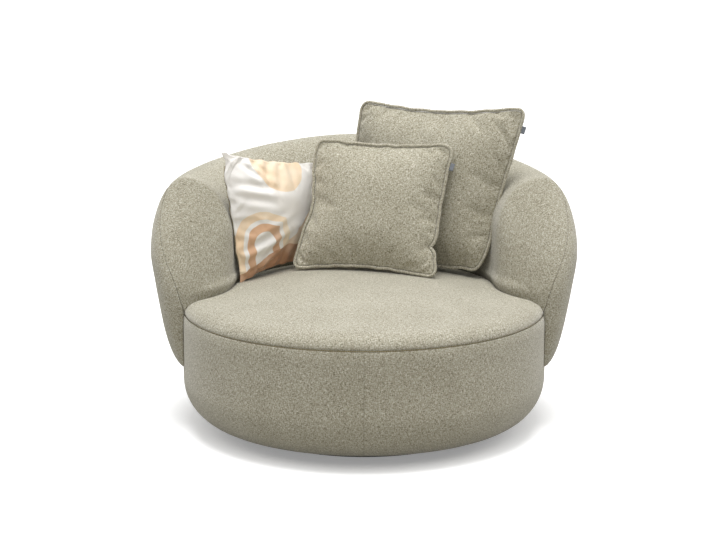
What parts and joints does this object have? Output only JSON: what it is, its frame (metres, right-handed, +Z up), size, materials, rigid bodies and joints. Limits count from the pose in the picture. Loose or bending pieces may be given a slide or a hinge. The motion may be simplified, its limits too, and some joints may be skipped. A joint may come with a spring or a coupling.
{
  "type": "swivel armchair",
  "caption": "Wide round swivel armchair with a drum seat, a wrap-around padded back with rounded arm ends, and loose scatter cushions.",
  "frame": {"origin": "on the swivel axis at floor level, at the middle of the felt sheet under the plinth", "axes": "+X to the right of the chair as seen from the front, +Y towards its back, +Z up"},
  "size_m": [1.3326, 1.24, 0.9967],
  "materials": {
    "chair_fabric": "melange woven boucle, matt",
    "seat_fabric": "melange woven boucle, matt",
    "satin_print": "printed satin, soft sheen",
    "tab_fabric": "plain grey tape",
    "zip_tape": "closed zip coil",
    "filling": "fibre filling in a plain case",
    "foam": null,
    "felt": "dense grey felt",
    "webbing": "elastic webbing",
    "lining_cloth": "black non-woven",
    "plinth_wood": "black painted board",
    "timber": "plain board and softwood",
    "hardboard": "bent hardboard",
    "zinc_steel": "zinc plated",
    "bearing_steel": "polished steel",
    "cage_plastic": "moulded plastic"
  },
  "bodies": {
    "base": {"floor_felt": "felt", "plinth_board": "plinth_wood", "lower_swivel_plate": "zinc_steel", "lower_plate_screws": "zinc_steel", "bearing_balls": "bearing_steel", "ball_cage": "cage_plastic", "centre_rivet": "zinc_steel"},
    "seat": {"upper_swivel_plate": "zinc_steel", "upper_plate_bolts": "zinc_steel", "deck_tee_nuts": "zinc_steel", "bottom_deck": "timber", "drum_blocks": "timber", "drum_hoop": "hardboard", "seat_ring": "timber", "ring_screws": "zinc_steel", "webbing_front_back": "webbing", "webbing_left_right": "webbing", "seat_foam": "foam", "seat_cover": "seat_fabric", "drum_side_foam": "foam", "drum_band_cover": "chair_fabric", "dust_cover": "lining_cloth", "back_base_rail": "timber", "back_uprights": "timber", "back_top_rail": "timber", "arm_end_boards": "timber", "spacer_rail": "timber", "inner_lining_board": "hardboard", "outer_shell_board": "hardboard", "back_screws": "zinc_steel", "inside_back_foam": "foam", "outside_back_foam": "foam", "top_roll_foam": "foam", "left_arm_foam": "foam", "right_arm_foam": "foam", "inside_back_cover": "chair_fabric", "outside_back_cover": "chair_fabric"},
    "large_cushion": {"large_cushion_filling": "filling", "large_cushion_cover": "chair_fabric", "large_cushion_piping": "chair_fabric", "large_cushion_zip": "zip_tape", "large_cushion_tab": "tab_fabric"},
    "small_cushion": {"small_cushion_filling": "filling", "small_cushion_cover": "chair_fabric", "small_cushion_piping": "chair_fabric", "small_cushion_zip": "zip_tape", "small_cushion_tab": "tab_fabric"},
    "satin_cushion": {"satin_cushion_filling": "filling", "satin_cushion_cover": "satin_print", "satin_cushion_zip": "zip_tape"}
  },
  "joints": [
    {"name": "seat_swivel", "type": "hinge", "parent": "base", "child": "seat", "pos_m": [0, 0, 0.03], "axis": [0, 0, 1], "continuous": true},
    {"name": "large_cushion_lift", "type": "slide", "parent": "seat", "child": "large_cushion", "axis": [0.0734, 0.1381, 0.9877], "range_m": [0, 0.35]},
    {"name": "small_cushion_lift", "type": "slide", "parent": "seat", "child": "small_cushion", "axis": [-0.2113, -0.6504, 0.7296], "range_m": [0, 0.35]},
    {"name": "satin_cushion_lift", "type": "slide", "parent": "seat", "child": "satin_cushion", "axis": [-0.0401, 0.0336, 0.9986], "range_m": [0, 0.35]}
  ]
}
